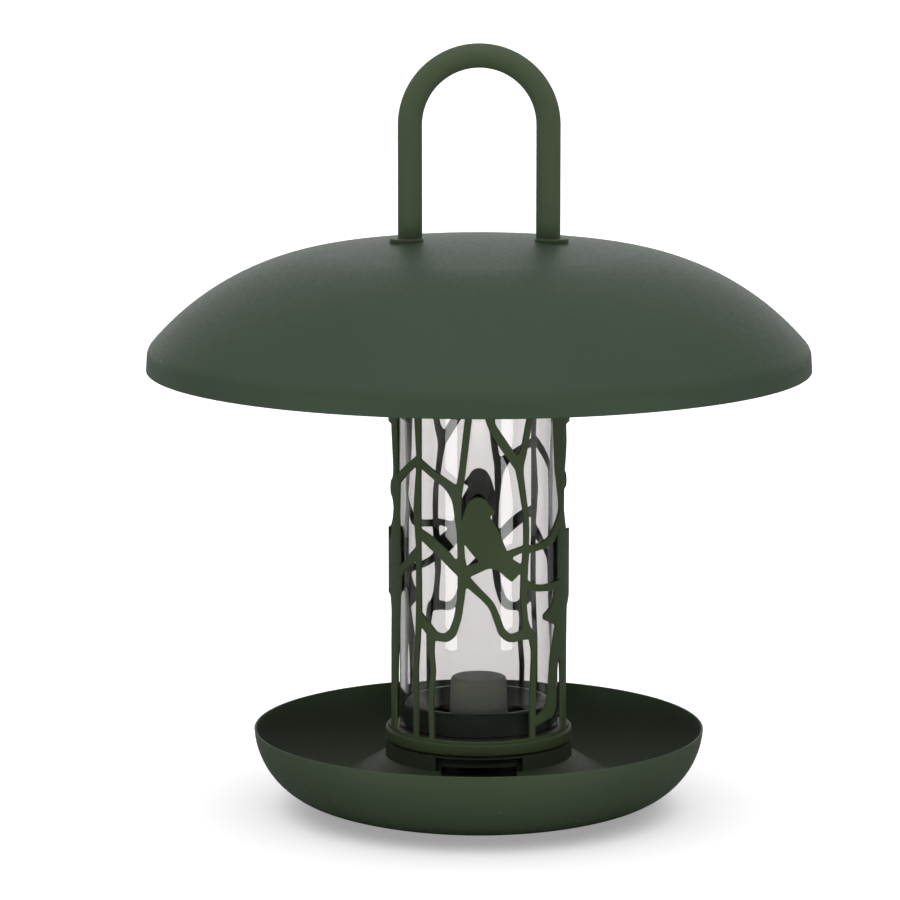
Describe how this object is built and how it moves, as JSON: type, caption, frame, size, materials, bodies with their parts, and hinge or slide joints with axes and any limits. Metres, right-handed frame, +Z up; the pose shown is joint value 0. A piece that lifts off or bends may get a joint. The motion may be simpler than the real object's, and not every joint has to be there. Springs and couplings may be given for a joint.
{
  "type": "hanging bird feeder",
  "caption": "Hanging seed feeder: domed steel roof with a loop handle, clear tube inside a cut-out bird and branch sleeve, and a round bowl below.",
  "frame": {"origin": "middle of the bowl's flat foot, on the ground plane", "axes": "+Z up along the tube, -Y towards the front bird of the lattice, the handle in the XZ plane"},
  "size_m": [0.3, 0.3, 0.3486],
  "materials": {
    "green_steel": "dark green satin powder coat",
    "bright_steel": "zinc-plated",
    "clear_plastic": "clear, smooth",
    "dark_plastic": "black, moulded",
    "grey_plastic": "grey, moulded",
    "rubber": "matt"
  },
  "bodies": {
    "base": {"bowl": "green_steel", "spreader_cone": "green_steel", "base_collar": "green_steel", "inner_collar": "green_steel", "bayonet_studs": "bright_steel", "tube_seat": "dark_plastic", "tube_gasket": "rubber", "seed_tube": "clear_plastic", "seed_plate": "dark_plastic", "seed_deflector": "grey_plastic", "centre_bolt": "bright_steel", "seal_washer": "rubber", "centre_spacer": "bright_steel", "plate_washer": "bright_steel", "centre_nut": "bright_steel"},
    "cage": {"lattice_sleeve": "green_steel", "bottom_band": "green_steel", "tube_guide": "dark_plastic"},
    "roof": {"roof_dome": "green_steel", "handle_bow": "green_steel", "handle_feet": "green_steel", "handle_inserts": "bright_steel", "handle_screws": "bright_steel", "screw_washers": "bright_steel", "roof_collar": "green_steel", "roof_clips": "bright_steel", "clip_rivets": "bright_steel"}
  },
  "joints": [
    {"name": "base_twist", "type": "hinge", "parent": "base", "child": "cage", "pos_m": [0, 0, 0.0352], "axis": [0, 0, 1], "range_deg": [0, 20]},
    {"name": "roof_lift", "type": "slide", "parent": "cage", "child": "roof", "axis": [0, 0, 1], "range_m": [0, 0.08]}
  ]
}
